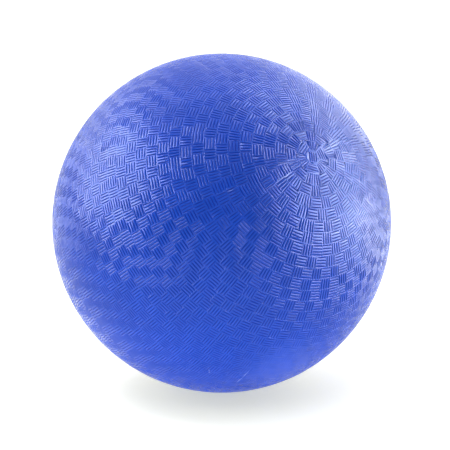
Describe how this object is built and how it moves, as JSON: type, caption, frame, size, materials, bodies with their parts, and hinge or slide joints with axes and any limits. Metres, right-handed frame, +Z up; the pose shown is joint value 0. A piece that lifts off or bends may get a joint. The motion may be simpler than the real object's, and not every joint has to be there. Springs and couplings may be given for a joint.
{
  "type": "dodgeball",
  "caption": "Inflated rubber playground ball with a basket-weave grip cover over a nylon-wound bladder, and a needle valve whose soft core pulls out for replacement.",
  "frame": {"origin": "centre of the ball", "axes": "+Z up, away from the patch that the ball rests on; -Y towards the picture's viewer; +X to the viewer's right"},
  "size_m": [0.216, 0.216, 0.2155],
  "materials": {
    "cover_rubber": "semi-gloss moulded blue rubber with a ribbed grip",
    "winding_nylon": "rubber-coated nylon thread, wound in all directions",
    "bladder_rubber": "smooth black butyl",
    "valve_rubber": "matt dark blue moulded rubber",
    "plug_rubber": "matt soft black rubber"
  },
  "bodies": {
    "ball": {"cover": "cover_rubber", "nylon_winding": "winding_nylon", "bladder": "bladder_rubber", "valve_patch": "bladder_rubber", "valve_housing": "valve_rubber"},
    "valve_core": {"valve_plug": "plug_rubber"}
  },
  "joints": [
    {"name": "valve_plug_pull", "type": "slide", "parent": "ball", "child": "valve_core", "axis": [-0.4909, 0.7037, -0.5135], "range_m": [0, 0.026]}
  ]
}
